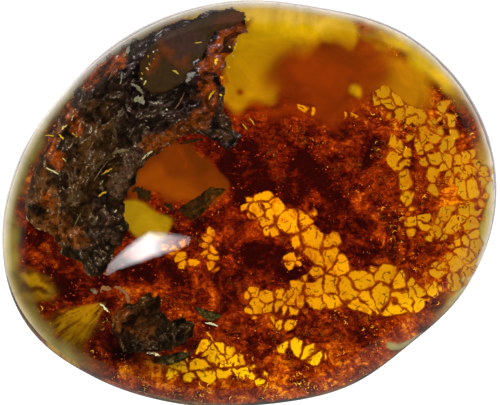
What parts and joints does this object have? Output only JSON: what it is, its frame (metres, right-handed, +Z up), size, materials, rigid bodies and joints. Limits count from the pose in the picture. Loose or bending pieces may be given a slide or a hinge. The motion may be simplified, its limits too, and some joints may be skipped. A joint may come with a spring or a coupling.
{
  "type": "amber nugget",
  "caption": "Polished see-through amber nugget, an uneven oval pebble with scraps of bark and wood sealed inside, lying on a small flat spot.",
  "frame": {"origin": "middle of the box around the nugget, at the level of the flat spot that it rests on", "axes": "+X along the nugget's length, +Y across it, +Z up out of the surface that it rests on"},
  "size_m": [0.062, 0.0507, 0.0286],
  "materials": {
    "amber": "polished, see-through honey to red-brown",
    "bark": "rough, dark brown to black",
    "bark_edge": "rough, olive brown"
  },
  "bodies": {
    "root": {"amber_upper": "amber", "amber_lower": "amber", "bark_slab": "bark", "wood_lump": "bark", "bark_sliver": "bark", "bark_chip": "bark_edge", "bark_flake": "bark"}
  },
  "joints": []
}
